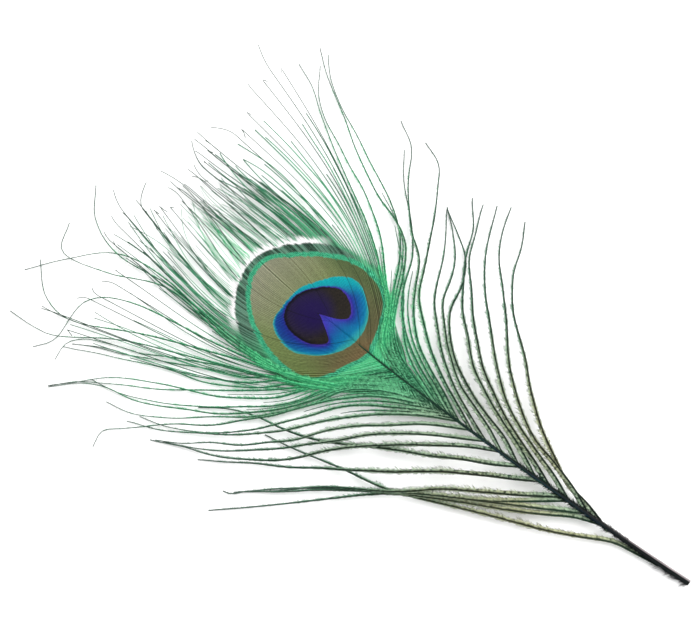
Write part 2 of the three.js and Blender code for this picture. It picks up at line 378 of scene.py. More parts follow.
# The loose barbs below the eye. Each is a thin dark stalk, the ramus, which grows from the side of the
# shaft and carries a narrow blade and a fringe of barbules, longest towards the crown. Each has a line
# of its own, and near the eye shorter barbs grow between them.
LEFT_LINES = [
    [(-0.5, 7), (-1.7, 13), (-2.8, 20), (-4.4, 28), (-10, 39), (-15, 49.5), (-20, 62), (-25, 74), (-29, 84),
     (-33, 93), (-40, 102), (-48, 110.5), (-57, 120), (-66, 130.5), (-75, 141)],
    [(-1.5, 32), (-5, 42), (-10, 50.5), (-15, 59), (-20, 68.5), (-25, 78), (-29, 86), (-33.5, 94.5),
     (-40, 104), (-47, 113.5), (-55, 124), (-62, 134), (-66, 138), (-67, 141)],
    [(-2, 40), (-6, 47), (-10, 54), (-15, 63), (-20, 71.5), (-25, 80), (-29.5, 88), (-34, 95.5), (-41, 106),
     (-50, 118.5), (-57, 128), (-65, 138)],
    [(-2.2, 49.5), (-6, 55), (-10, 61), (-15, 69), (-20, 77), (-25, 84.5), (-30, 90.5), (-34.5, 96.5),
     (-42, 108), (-49, 118), (-56, 126), (-63, 135)],
    [(-2, 57.5), (-7.5, 66.5), (-12.5, 75.5), (-18, 84.5), (-24, 93), (-30.5, 101), (-36, 110),
     (-41.5, 118.5), (-47.5, 127.5), (-53, 136), (-58.5, 145), (-64, 154)],
    [(-2, 73.5), (-6.5, 82.5), (-12, 91), (-17.5, 99), (-24, 107), (-30, 114.5), (-37, 121.5),
     (-44.5, 128.5), (-51, 135.5), (-56.5, 144), (-61, 152.5), (-64, 162), (-68, 171)],
    [(-2, 79.5), (-7, 88.5), (-12, 97), (-17.5, 105), (-24, 113), (-31, 120), (-38, 127), (-45, 134),
     (-51.5, 141.5), (-57, 149.5), (-62, 158), (-66, 167)],
    [(-2, 86), (-6.5, 94.5), (-11.5, 102.5), (-18, 110.5), (-24, 118), (-31, 124.5), (-38.5, 131),
     (-45, 138), (-51.5, 145), (-57, 153), (-62.5, 161), (-67, 169.5)],
    [(-2, 91), (-6.5, 100), (-12, 108.5), (-18.5, 117), (-25.5, 124.5), (-33, 131), (-41, 138),
     (-47.5, 145.5), (-53.5, 154), (-59.2, 162.5), (-64.5, 171.5), (-68, 181)],
    [(-2, 95), (-6.5, 103.5), (-11.5, 112), (-16.5, 120), (-23, 127), (-31, 133), (-38, 139),
     (-45.5, 145.5), (-52, 152.5), (-57.5, 160.5), (-61.5, 169), (-64, 178.5)],
    [(-2, 97), (-4.5, 103.5), (-7, 109.5), (-10, 115.5), (-13.5, 121), (-18, 126), (-22.5, 130.5),
     (-27.5, 134.5), (-32.5, 138.5), (-37.5, 142.5), (-42, 147), (-46.5, 151.5), (-51, 156), (-55, 161),
     (-58.5, 166), (-62.5, 171), (-67, 176), (-71, 180.5), (-75.5, 185.5), (-81.5, 185)],
    [(-2, 99), (-5.5, 109.5), (-10, 119.5), (-16.5, 128), (-25.5, 133.5), (-33.5, 140), (-41, 147),
     (-47.5, 155), (-53.5, 163), (-59.5, 171.5), (-64.5, 180.5), (-67, 190.5)],
    [(-2, 101), (-5.5, 111.5), (-10.5, 121.5), (-17, 129.5), (-26, 135), (-34, 141.5), (-41, 149),
     (-47, 157), (-52, 165.5), (-57.5, 174.5), (-61.5, 184), (-63.5, 194), (-67.5, 202.5), (-74.5, 209.5)],
    [(-2, 103), (-6, 114), (-11, 124), (-18.5, 132.5), (-27.5, 138), (-35, 145), (-41.5, 153), (-48, 161.5),
     (-53.5, 170), (-58, 179.5), (-62, 189), (-64, 199.5)],
    [(-2, 104.5), (-5.5, 115), (-10.5, 124), (-17, 132.5), (-24.5, 139.5), (-32, 145.5), (-38, 153),
     (-43.5, 161.5), (-47.5, 170), (-51, 179), (-55.5, 188), (-61, 196), (-68, 203), (-74.5, 209.5)],
    [(-2, 106), (-6, 117), (-12, 126.5), (-19, 135), (-26, 143), (-33, 150.5), (-39, 158.5), (-45, 167),
     (-50.5, 175.5), (-56, 184), (-61.5, 193), (-67, 201.5), (-74, 209)],
    [(-2, 107.5), (-6, 118), (-12, 127.5), (-19.5, 135.5), (-25.5, 144), (-32, 151), (-37.5, 159.5),
     (-42, 168.5), (-45, 177.5), (-49, 187), (-53, 196), (-56.5, 205), (-60.5, 214)],
    [(-2, 109), (-6.5, 120), (-13, 130), (-21.5, 138), (-26.5, 147.5), (-33, 155.5), (-38.5, 164.5),
     (-43, 173.5), (-46.5, 183), (-49.5, 193), (-53, 202.5), (-58, 212)],
    [(-2, 110.5), (-7, 121), (-13, 131), (-22, 139), (-26, 149), (-32, 157.5), (-36.5, 166.5), (-41, 175.5),
     (-45.5, 184.5), (-49.5, 193.5), (-53.5, 203), (-58.5, 212)],
    [(-2, 112), (-5.5, 118.5), (-9.5, 125.5), (-14, 131.5), (-19.5, 137), (-23.5, 143.5), (-27, 150),
     (-30, 156), (-32.5, 162), (-35, 168), (-38, 173.5), (-41, 179.5), (-44, 185.5), (-47, 191.5),
     (-49, 197.5), (-51.5, 203.5), (-54.5, 209.5), (-59.5, 213.5), (-66, 213)],
]
RIGHT_LINES = [
    [(-2, 31), (1, 41), (3, 51), (7.5, 60), (13, 69), (19.5, 76.5), (26.5, 84), (33, 92), (40, 99.5),
     (49, 105), (58.5, 108.5), (67.5, 113.5)],
    [(-2, 38.5), (2.5, 48), (5.5, 58), (8, 68), (13, 77), (19.5, 84.5), (27, 92), (35, 98.5), (42.5, 105.5),
     (50.5, 112), (59.5, 117), (69, 120)],
    [(-2, 46.5), (2, 55.5), (5, 65), (8.5, 74.5), (13, 83), (19, 90.5), (26, 98), (33, 104.5), (40.5, 111),
     (48.5, 116.5), (57.5, 121), (66.5, 124.5)],
    [(-2, 54), (2, 63.5), (5.5, 73.5), (9.5, 83), (15, 92), (21.5, 100), (28.5, 107.5), (36.5, 114.5),
     (45, 120.5), (54.5, 124.5), (64, 128.5)],
    [(-2, 60.5), (2.5, 69.5), (6, 79), (10, 88.5), (15, 97), (22, 105), (29, 112.5), (37, 118),
     (46.5, 122.5), (55.5, 126.5), (63.5, 133)],
    [(-2, 67.5), (2.5, 76), (5, 85), (8, 94), (12.5, 102.5), (19, 110), (26.5, 115.5), (36, 118),
     (44.5, 122), (50.5, 129.5), (55.5, 137.5)],
    [(-2, 74), (2, 82), (5, 90.5), (8.5, 99), (13.5, 106.5), (19.5, 113), (26.5, 118.5), (35, 121.5),
     (43, 125.5), (49.5, 131.5), (56, 137.5)],
    [(-2, 80.5), (1.5, 89), (5.5, 98), (10.5, 106), (16.5, 113), (23.5, 120), (31, 124.5), (40, 128),
     (48, 133), (56, 138)],
    [(-2, 86), (2, 94.5), (6, 103.5), (11, 112), (17, 119.5), (24, 126.5), (32, 131), (41, 135),
     (49.5, 139), (58.5, 143.5), (66, 149), (70, 157.5)],
    [(-2, 91.5), (2.5, 100.5), (6.5, 109.5), (11.5, 118), (18.5, 125), (27, 130.5), (35.5, 135.5),
     (42, 143), (49.5, 149.5), (57.5, 155.5), (66, 161), (71.5, 169)],
    [(-2, 96.5), (2, 105.5), (5.5, 114), (10.5, 122), (17.5, 129), (25.5, 133.5), (34.5, 137.5), (42, 143),
     (49, 149.5), (56, 156.5), (63.5, 162)],
    [(-2, 102), (1, 111.5), (4.5, 120.5), (10.5, 127.5), (19, 132), (28, 136), (36, 141.5), (41, 149.5),
     (44.5, 158.5), (49, 167), (54, 175.5), (59, 183.5), (64, 192), (69.5, 200), (76, 207.5)],
    [(-2, 106), (1, 115.5), (5, 124.5), (13, 130.5), (21.5, 135.5), (30.5, 140), (38.5, 145.5), (45, 153.5),
     (50, 162), (54, 171), (58.5, 180), (63, 189), (68.5, 197), (76, 203.5)],
    [(-2, 109), (1.5, 119), (5, 127.5), (14.5, 132.5), (22.5, 139.5), (30, 146), (36.5, 153.5), (42, 162.5),
     (46.5, 172), (51.5, 180.5), (56, 190), (62.5, 198), (70.5, 204)],
    [(-2, 112), (1, 122), (5.5, 128.5), (16, 134), (23, 142), (29.5, 149.5), (35.5, 157.5), (40.5, 166.5),
     (45.5, 175), (50.5, 184), (56.5, 192.5), (62.5, 200.5), (67, 210)],
]
EYE_CENTRE = (-0.5, 152)
STATIONS = 60
SPAN_STEPS = 12
TIP_HEIGHT = 0.35
BESIDE_SHAFT = (2, 7)
LOOSE_ARCH = 2.2
WAVES = (2.5, 5.5)
WAVE_SIZE = 0.22
WAVE_UNEVEN = (0.4, 1.4)
LONG_WAVES = 3
WAVES_GROWN = 0.5
WAVE_GROWTH = 1.5
LOOSE_SPACING = 0.16
LOOSE_END = 0.985
LOWEST_PAIR = 90
PAIR_PLACES = (0.4, 0.6)
PAIR_LENGTHS = (0.3, 0.6)
PAIR_STOUTNESS = 0.85
PAIR_SPACING = 1.7
TUFT = 0.9
TUFT_TINT = 0.65
BARBULE_LEAST = 0.5
BARBULE_MOST = 0.8
BARBULE_UNEVEN = (-0.15, 0.2)
BARBULE_LEANS = (0.7, 1.5)
BARBULE_DROOPS = (-0.4, 0.15)
BARBULE_THICKNESS = 0.04
BLADE_THICKNESS = 0.05
BLADE_SLOPE = 0.2
STALK_MARK = 0.15
BLADE_MARK = 0.6
STRIP_FILLED = 0.42
MOTTLES_A_MM = 1.1
SILK = 0.1

# How a loose barb changes with its root's height, and along it from root to tip. Barbs that grow low are
# thicker and shaggier, and those just below the eye close into a web at their feet.
ARCH_BY_ROOT = ([85, 108], [1, 0.1])
STALK_BY_ROOT = ([24, 112], [0.21, 0.12])
STALK_ALONG = ([0, 0.5, 1], [1.1, 0.95, 0.9])
SHAG_BY_ROOT = ([60, 105], [1.0, 0.0])
TAPER_BY_ROOT = ([88, 108], [1, 0.75])
TAPER_ALONG = ([0, 0.05, 0.4, 0.65, 0.85, 1], [0.6, 1, 0.9, 0.5, 0.3, 0.15])
WEB_BY_ROOT = ([80, 100], [0, 0.35])
WEB_ALONG = ([0, 0.1, 0.3], [1, 0.8, 0])
BULGE_BY_ROOT = ([98, 106], [0, 0.34])
BULGE_ALONG = ([0, 0.1, 0.26, 0.4], [0.3, 1, 0.8, 0])
OUTER_ALONG = ([0, 0.16, 0.3], [0.35, 0.5, 1])
SOLID_ALONG = ([0, 0.16, 0.32, 1], [0.72, 0.66, 0.45, 0.6])
CROWN_SIDE = 1.25
CROWN_SIDE_SHAG = 0.8
OUTER_SIDE = 0.55
OUTER_SIDE_SHAG = 0.4
WEB_SOLID = 0.3
FRINGE_WIDTH = 2.4
FRINGE_SPREAD = 0.9


def even_steps(line):
    """A line again, as STATIONS points at equal distances along it."""
    steps = np.linalg.norm(np.diff(line, axis=0), axis=1)
    along = np.concatenate([[0], np.cumsum(steps)])
    places = np.linspace(0, along[-1], STATIONS)
    return np.stack([np.interp(places, along, axis) for axis in line.T], -1)


def through(points, arch):
    """A smooth line through points on the ground plan, which arches over from the shaft to its tip and
    stays below the shaft's top where it runs beside the shaft."""
    points = np.array(points, float)
    ends = np.vstack([2 * points[0] - points[1], points, 2 * points[-1] - points[-2]])
    t = np.linspace(0, 1, SPAN_STEPS, endpoint=False)[:, None]
    spans = []
    for before, a, b, after in zip(ends, ends[1:], ends[2:], ends[3:]):
        square = 2 * before - 5 * a + 4 * b - after
        cube = 3 * a - before - 3 * b + after
        spans.append(a + 0.5 * (b - before) * t + 0.5 * square * t**2 + 0.5 * cube * t**3)
    plan = even_steps(np.vstack([*spans, points[-1:]]))
    share = np.linspace(0, 1, STATIONS)
    start = shaft_at(points[0, 1])[2]
    height = start + (TIP_HEIGHT - start) * share + arch * np.sin(np.pi * share)
    shaft_here = shaft_at(plan[:, 1])
    beside = np.interp(np.abs(plan[:, 0] - shaft_here[:, 0]), BESIDE_SHAFT, [1, 0])
    height -= beside * np.clip(height - shaft_here[:, 2], 0, None)
    return np.column_stack([plan, height])


def rightwards(lines):
    """The level direction to the right of a line, or of each of many, at every station."""
    ahead = np.gradient(lines, axis=-2)
    across = np.stack([ahead[..., 1], -ahead[..., 0]], -1)
    return across / np.linalg.norm(across, axis=-1)[..., None]


def waved(line, chance):
    """A line with slight waves in it, which grow towards its tip."""
    share = np.linspace(0, 1, len(line))
    swing = np.zeros(len(line))
    for waves in WAVES:
        phase = chance.uniform(0, 2 * np.pi)
        size = WAVE_SIZE * chance.uniform(*WAVE_UNEVEN)
        swing += size * np.sin(2 * np.pi * waves * share + phase) / waves * LONG_WAVES
    line = line.copy()
    swing *= np.clip(share / WAVES_GROWN, 0, 1) ** WAVE_GROWTH
    line[:, :2] += rightwards(line) * swing[:, None]
    return line


def cut_short(line, shares):
    """The part of a line that lies at these shares of its stations."""
    stations = np.linspace(0, 1, STATIONS)
    return np.stack([np.interp(shares, stations, axis) for axis in line.T], -1)


def pairs_along(count, chance):
    """Where a pair of barbules grows at each of count steps, as shares of the length, and their sides."""
    shares = (np.arange(2 * count) // 2 + chance.random(2 * count)) / count
    return shares, np.tile([1.0, -1.0], count)


class Barb:
    """One barb: its line, how far its blade reaches to the right and left of it, and its chances."""

    def __init__(self, line, side, chance, right, left):
        self.line = line
        self.side = side
        self.chance = chance
        self.right = right
        self.left = left
        self.tint = chance.random()
        self.length = np.linalg.norm(np.diff(line, axis=0), axis=1).sum()
        self.across = rightwards(line)
        self.stations = np.linspace(0, 1, len(line))

    def at(self, share):
        """Places along the line, and the level direction to the right of it there."""
        place = np.stack([np.interp(share, self.stations, axis) for axis in self.line.T], -1)
        across = np.stack([np.interp(share, self.stations, axis) for axis in self.across.T], -1)
        return place, across


def upright_shape(cuts):
    """The new upright piece's corners, with z from 0 to 1, and its faces as triangles."""
    if cuts:
        cut_along(cuts)
    piece = bpy.context.object
    bpy.ops.object.mode_set(mode="EDIT")
    bpy.ops.mesh.select_all(action="SELECT")
    bpy.ops.mesh.quads_convert_to_tris()
    bpy.ops.object.mode_set(mode="OBJECT")
    corners = np.array([corner.co for corner in piece.data.vertices]) + (0, 0, 0.5)
    faces = np.array([face.vertices[:] for face in piece.data.polygons])
    bpy.data.objects.remove(piece)
    return corners, faces


# The three shapes that every barb is made of: a spike for the barbules, a long flat bar for the blade
# and a rod for the stalk.
bpy.ops.mesh.primitive_cone_add(vertices=3, radius1=1, radius2=0, depth=1)
BARBULE = upright_shape(0)
bpy.ops.mesh.primitive_cylinder_add(vertices=4, radius=1, depth=1)
BLADE = upright_shape(STATIONS - 2)
bpy.ops.mesh.primitive_cylinder_add(vertices=5, radius=1, depth=1)
RAMUS = upright_shape(STATIONS - 2)


def laid_blade(barb, shape, right, left, height, slope=0.0):
    """A long shape laid along a barb, as wide as right and left and as thick as height. Its edges hang
    lower than its middle by the slope."""
    corners, faces = shape
    share = corners[:, 2]
    place, across = barb.at(share)
    reach_right = np.interp(share, barb.stations, right)
    reach_left = np.interp(share, barb.stations, left)
    width = np.where(corners[:, 0] > 0, reach_right, reach_left)
    place[:, :2] += across * (corners[:, 0] * width)[:, None]
    place[:, 2] += corners[:, 1] * np.interp(share, barb.stations, height) - slope * np.abs(corners[:, 0])
    marks = {
        "along": share,
        "across": -barb.side * corners[:, 0] * BLADE_MARK,
        "fleck": np.full(len(share), barb.tint),
    }
    return place, faces, marks


def laid_stalk(barb, thick):
    """A barb's round stalk, marked as its darkest middle."""
    place, faces, marks = laid_blade(barb, RAMUS, thick, thick, thick)
    marks["across"] = marks["across"] * STALK_MARK
    return place, faces, marks


def fringe(barb, shares, lengths, sides, width, spread, foot=0.0):
    """Barbules along a barb, one at each share of its length, on the side of it that sides gives. They
    grow in tufts of like length and colour. Spread is how far they lean ahead, and foot how far from the
    barb's middle they stand."""
    corners, faces = BARBULE
    chance = barb.chance
    count = len(shares)
    tufts = chance.random(int(barb.length / TUFT) + 2)
    tuft = np.interp(shares, np.linspace(0, 1, len(tufts)), tufts)
    uneven = chance.uniform(*BARBULE_UNEVEN, count)
    lengths = lengths * (BARBULE_LEAST + BARBULE_MOST * tuft + uneven)
    lean = chance.uniform(*BARBULE_LEANS, count) * spread
    droop = chance.uniform(*BARBULE_DROOPS, count) * lengths
    out = corners[:, 2]
    share = shares[:, None] + ((lengths * lean)[:, None] * out + corners[:, 0] * width / 2) / barb.length
    share = np.clip(share, 0, 1).ravel()
    place, across = barb.at(share)
    reach = (lengths[:, None] * out + np.reshape(foot, (-1, 1))) * sides[:, None]
    place[:, :2] += across * reach.ravel()[:, None]
    place[:, 2] += (corners[:, 1] * BARBULE_THICKNESS + droop[:, None] * out).ravel()
    numbered = faces[None] + len(corners) * np.arange(count)[:, None, None]
    marks = {
        "along": share,
        "across": (-barb.side * sides[:, None] * out).ravel(),
        "fleck": np.repeat((1 - TUFT_TINT) * chance.random(count) + TUFT_TINT * tuft, len(out)),
    }
    return place, numbered.reshape(-1, 3), marks


def joined_piece(name, rows, finish):
    """One mesh from the parts of many barbs: rows holds each barb and its parts. Its marks are along, the
    share of the barb's length; across, 0 at the stalk and 1 at the fringe's tips towards the crown; fleck,
    by tuft; and tint, by barb. In the OFBake map every barb has a strip of its own."""
    parts = [(part, barb, row) for row, (barb, barb_parts) in enumerate(rows) for part in barb_parts]
    sizes = [len(part[0]) for part, barb, row in parts]
    starts = np.concatenate([[0], np.cumsum(sizes)[:-1]])
    places = np.concatenate([part[0] for part, barb, row in parts])
    faces = np.concatenate([part[1] + start for (part, barb, row), start in zip(parts, starts)])
    mesh = bpy.data.meshes.new(name)
    mesh.vertices.add(len(places))
    mesh.vertices.foreach_set("co", in_frame(places).astype(np.float32).ravel())
    mesh.loops.add(faces.size)
    mesh.loops.foreach_set("vertex_index", faces.astype(np.int32).ravel())
    mesh.polygons.add(len(faces))
    mesh.polygons.foreach_set("loop_start", np.arange(0, faces.size, 3, dtype=np.int32))
    marks = {}
    for key in ("along", "across", "fleck"):
        marks[key] = np.concatenate([part[2][key] for part, barb, row in parts])
    marks["tint"] = np.repeat([barb.tint for part, barb, row in parts], sizes)
    for key, values in marks.items():
        layer = mesh.attributes.new(key, "FLOAT", "POINT")
        layer.data.foreach_set("value", values.astype(np.float32))
    strip = np.repeat([row + 0.5 for part, barb, row in parts], sizes) + STRIP_FILLED * marks["across"]
    unwrapped = mesh.uv_layers.new(name="OFBake")
    flat = np.stack([marks["along"], strip / len(rows)], -1)[faces.ravel()]
    unwrapped.uv.foreach_set("vector", flat.astype(np.float32).ravel())
    mesh.update(calc_edges=True)
    mesh.materials.append(finish)
    piece = bpy.data.objects.new(name, mesh)
    bpy.context.collection.objects.link(piece)
    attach(piece, "root")
    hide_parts("feather")
    return piece


def loose_finish():
    """Speckled barbules: gold near the shaft's foot, leaf green above, emerald by the eye and grey at the
    tips, on a stalk that is nearly black below and green above."""
    vane = Finish("loose_barbs")
    x, y, z = vane.place()
    along = vane.attribute("along")
    across = vane.attribute("across")
    tint = vane.attribute("tint")
    fleck = vane.attribute("fleck")
    off_shaft = x.size()
    patches = vane.noise(x, y, 0.6, 2.0)
    mottle = vane.noise(x, y, MOTTLES_A_MM, 1.0)
    # The colour of a barbule by where it grows, from its tuft's dark shade to its light one.
    contrast = (fleck * 0.5 + mottle * 1.1 - 0.3).rises(0.08, 0.66)
    gold = vane.mix(paint(56, 62, 36), paint(222, 226, 182), contrast)
    leaf = vane.mix(paint(34, 76, 54), paint(198, 224, 192), contrast)
    emerald = vane.mix(paint(26, 116, 76), paint(128, 228, 170), contrast)
    grey = vane.mix(paint(64, 90, 80), paint(130, 158, 144), contrast)
    teal = vane.mix(paint(32, 90, 68), paint(118, 180, 144), contrast)
    low = (y - 0.5 * off_shaft + patches * 40).rises(116, 66)
    barbules = vane.mix(leaf, gold, low * along.rises(0.04, 0.2))
    barbules = vane.mix(barbules, teal, along.rises(0.42, 0.72) * 0.85)
    bright = (y - 1.15 * off_shaft).rises(86, 112)
    barbules = vane.mix(barbules, emerald, bright)
    glowing = vane.distance(x, y, EYE_CENTRE).rises(29, 25)
    glow = vane.mix(paint(50, 176, 112), paint(120, 250, 178), contrast)
    barbules = vane.mix(barbules, glow, glowing * 0.8)
    barbules = vane.mix(barbules, grey, along.rises(0.78, 1) * 0.7)
    # The side away from the crown is darker, and below the eye so are the barbules' tips.
    outer = across.rises(-0.2, -0.6)
    barbules = vane.mix(barbules, paint(34, 58, 40), outer * (1 - bright) * 0.5)
    singed = across.size().rises(0.45, 0.85) * along.rises(0.05, 0.25) * (1 - bright)
    dark_edge = vane.mix(paint(30, 48, 32), paint(58, 50, 32), low)
    barbules = vane.mix(barbules, dark_edge, singed * 0.75)
    # The stalk in the middle.
    stalk = vane.mix(paint(8, 18, 12), paint(20, 48, 32), tint)
    stalk = vane.mix(stalk, paint(46, 44, 30), low * along.rises(0.1, 0.3) * 0.7)
    stalk = vane.mix(stalk, paint(22, 84, 56), bright * 0.8)
    stalk = vane.mix(stalk, paint(40, 150, 98), glowing * 0.8)
    stalk = vane.mix(stalk, paint(72, 90, 80), along.rises(0.6, 1))
    vane.set(Base_Color=vane.mix(stalk, barbules, across.size().rises(0.1, 0.42)), Roughness=0.5)
    vane.set(Metallic=SILK, Specular_IOR_Level=HAIR_GLOSS)
    return vane.material


def loose_barb(line, side, chance, root, stout=1.0, spacing=LOOSE_SPACING):
    """A loose barb and its parts: stalk, blade and the two fringes."""
    share = np.linspace(0, 1, STATIONS)
    thick = np.interp(root, *STALK_BY_ROOT) * np.interp(share, *STALK_ALONG) * stout
    shag = np.interp(root, *SHAG_BY_ROOT)
    taper = np.interp(root, *TAPER_BY_ROOT) * np.interp(share, *TAPER_ALONG)
    webbed = np.interp(root, *WEB_BY_ROOT) * np.interp(share, *WEB_ALONG)
    webbed += np.interp(root, *BULGE_BY_ROOT) * np.interp(share, *BULGE_ALONG)
    crown_side = (CROWN_SIDE + CROWN_SIDE_SHAG * shag) * taper + webbed
    outer_side = (OUTER_SIDE + OUTER_SIDE_SHAG * shag) * taper * np.interp(share, *OUTER_ALONG) + webbed
    right, left = (crown_side, outer_side) if side < 0 else (outer_side, crown_side)
    barb = Barb(line, side, chance, right, left)
    shares, sides = pairs_along(int(barb.length / spacing), chance)
    shares = shares * LOOSE_END
    lengths = np.where(sides > 0, np.interp(shares, share, right), np.interp(shares, share, left))
    solid = np.interp(share, *SOLID_ALONG)
    blade_right = solid * right + WEB_SOLID * webbed
    blade_left = solid * left + WEB_SOLID * webbed
    blade_height = np.full(STATIONS, BLADE_THICKNESS)
    parts = [
        laid_stalk(barb, thick),
        laid_blade(barb, BLADE, blade_right, blade_left, blade_height, BLADE_SLOPE),
        fringe(barb, shares, lengths, sides, FRINGE_WIDTH * spacing, FRINGE_SPREAD),
    ]
    return barb, parts


def loose_side(lines, side, seed):
    """Every barb of one side below the eye, from the highest down, with the shorter ones between them."""
    chance = np.random.default_rng(seed)
    rows = []
    above = None
    for points in reversed(lines):
        root = points[0][1]
        arch = LOOSE_ARCH * np.interp(root, *ARCH_BY_ROOT)
        line = waved(through(points, arch), chance)
        rows.append(loose_barb(line, side, chance, root))
        if above is not None and root > LOWEST_PAIR:
            middle = line + chance.uniform(*PAIR_PLACES) * (above - line)
            middle = cut_short(middle, np.linspace(0, chance.uniform(*PAIR_LENGTHS), STATIONS))
            rows.append(loose_barb(middle, side, chance, root, PAIR_STOUTNESS, PAIR_SPACING * LOOSE_SPACING))
        above = line
    return rows


loose = loose_finish()
joined_piece("loose_barbs_left", loose_side(LEFT_LINES, -1, 21), loose)
joined_piece("loose_barbs_right", loose_side(RIGHT_LINES, 1, 22), loose)


# The shaft's down. Short dark barbules stand along both sides of the shaft in two rows, one above the
# other, longest on the left of its foot. The pale strip low on the right side is bare.
def down_finish():
    """Black below, dark green above."""
    down = Finish("shaft_down")
    x, y, z = down.place()
    fleck = down.attribute("fleck")
    black = down.mix(paint(4, 7, 8), paint(17, 27, 27), fleck)
    green = down.mix(paint(6, 12, 12), paint(30, 72, 54), fleck)
    colour = down.mix(black, green, y.rises(35, 80))
    down.set(Base_Color=colour, Roughness=0.55, Specular_IOR_Level=HAIR_GLOSS)
    return down.material


DOWN_SPACING = 0.16
DOWN_FOOT = 0.2
DOWN_TOP = 118
DOWN_END = 0.99
DOWN_WIDTH = 0.3
DOWN_SPREAD = 0.7
DOWN_UNEVEN = (0.3, 1.7)
DOWN_ROWS = (0.0, 0.9)
DOWN_ROOT = 0.8
ROUNDED = 0.6
RIGHT_DOWN = ([0, 0.15, 0.25, 0.5, 0.7, 1], [0.1, 0.2, 0.6, 0.9, 0.35, 0.15])
LEFT_DOWN = ([0, 0.12, 0.25, 0.5, 0.7, 1], [1.3, 1.1, 0.9, 0.9, 0.35, 0.15])
STRIP_TOP = 0.2


def down_row(lifted, chance):
    """One row of down on both sides of the shaft, lifted off its middle by a share of its radius."""
    line = shaft_at(np.linspace(DOWN_FOOT, DOWN_TOP, STATIONS))
    line[:, 2] += lifted * shaft_radius(line[:, 1])
    row = Barb(even_steps(line), -1, chance, None, None)
    shares, sides = pairs_along(int(row.length / DOWN_SPACING), chance)
    shares = shares * DOWN_END
    lengths = np.where(sides > 0, np.interp(shares, *RIGHT_DOWN), np.interp(shares, *LEFT_DOWN))
    lengths = lengths * chance.uniform(*DOWN_UNEVEN, len(shares))
    foot = DOWN_ROOT * shaft_radius(shares * DOWN_TOP) * (1 - ROUNDED * lifted)
    grown = (sides < 0) | (shares > STRIP_TOP)
    down = fringe(row, shares[grown], lengths[grown], sides[grown], DOWN_WIDTH, DOWN_SPREAD, foot[grown])
    return row, [down]


down_chance = np.random.default_rng(51)
down_rows = [down_row(lifted, down_chance) for lifted in DOWN_ROWS]
joined_piece("down_on_shaft", down_rows, down_finish())


# The strays. Single loose barbs that have left their rows: two cross the others low on the left, and six
# with curled tips stand out past the crown. They grow from the shaft as all barbs do.
STRAYS = [
    [(-2, 47), (-16, 66), (-27, 84), (-34, 96), (-38, 114), (-42, 130), (-44, 141)],
    [(-2, 65.5), (-7.5, 74.5), (-12, 83.5), (-17, 92), (-21.5, 101), (-26.5, 110), (-31.5, 118.5),
     (-36, 127.5), (-39, 137), (-41, 147), (-44.5, 156), (-50, 164.5)],
    [(-2, 109), (-20, 134), (-35, 169), (-47, 198), (-59, 217), (-61.5, 226), (-62, 236)],
    [(-2, 111), (-18, 134), (-30, 165), (-41, 193), (-52, 216), (-51, 229), (-42, 239)],
    [(-2, 114), (-20, 136), (-29, 170), (-35, 203), (-44, 217), (-60, 217.5), (-67, 222)],
    [(-2, 118), (-20, 138), (-25.5, 166), (-22, 200), (-25, 219), (-37, 232), (-48, 241)],
    [(-2, 117), (-20, 136), (-26.5, 166), (-24, 196), (-32, 217), (-35.5, 234), (-26, 239)],
    [(-2, 120), (-20, 139), (-24.5, 164), (-23, 195), (-25, 218), (-20, 232), (-10, 240)],
]
STRAY_ARCH = 1.6
STRAY_STOUTNESS = 1.25

stray_chance = np.random.default_rng(31)
strays = []
for stray_points in STRAYS:
    stray_line = through(stray_points, STRAY_ARCH)
    stray_root = stray_points[0][1]
    strays.append(loose_barb(stray_line, -1, stray_chance, stray_root, STRAY_STOUTNESS))
joined_piece("strays", strays, loose)


# The eye and the crown. The topmost barbs lie so close that their blades close into one smooth leaf,
# whose colours are rings about the shaft's end. Past the white ring they part again into locks.

# Every barb is a blend of the two guide barbs next to it. A guide gives its root's height, its angle
# off the shaft there, how far out and how high its tip lies, and its lean at the tip.
LEFT_GUIDES = [
    (113, 46, 58, 216, 20),
    (120, 50, 46, 218, 12),
    (125, 55, 35, 212, 6),
    (129, 62, 22, 222, -2),
    (135, 54, 13, 226, -12),
    (142, 42, 4, 218, -16),
    (148, 24, -4, 212, -14),
    (151, 0.6, -6.1, 213, -3),
]
RIGHT_GUIDES = [
    (113, 42, 64, 213, 24),
    (120, 50, 50, 219, 12),
    (125, 55, 38, 212, 8),
    (129, 62, 28, 211, 6),
    (135, 54, 22, 217, 4),
    (142, 42, 14, 211, 4),
    (148, 24, 8, 212, 6),
    (151, 0.6, 6.3, 213, 3),
]


class Outline:
    """A closed line round the eye: its distance from a centre, at angles off the shaft's direction. Reach
    is the farthest that a material's curve can tell."""

    REACH = 40

    def __init__(self, centre, stations):
        self.centre = centre
        self.stations = stations

    def beyond(self, places):
        """How far outside the line places lie, in millimetres."""
        x, y = places[..., 0] - self.centre[0], places[..., 1] - self.centre[1]
        angles, radii = zip(*self.stations)
        return np.hypot(x, y) - np.interp(np.degrees(np.arctan2(x, y)), angles, radii)

    def painted(self, finish, x, y):
        """The same in a material."""
        turn = (x - self.centre[0]).angle_off(y - self.centre[1]) / (2 * math.pi) + 0.5
        curve = [(angle / 360 + 0.5, radius / self.REACH) for angle, radius in self.stations]
        radius = finish.add("ShaderNodeFloatCurve", {"curve": curve}, {"Value": turn}) * self.REACH
        return finish.distance(x, y, self.centre) - radius


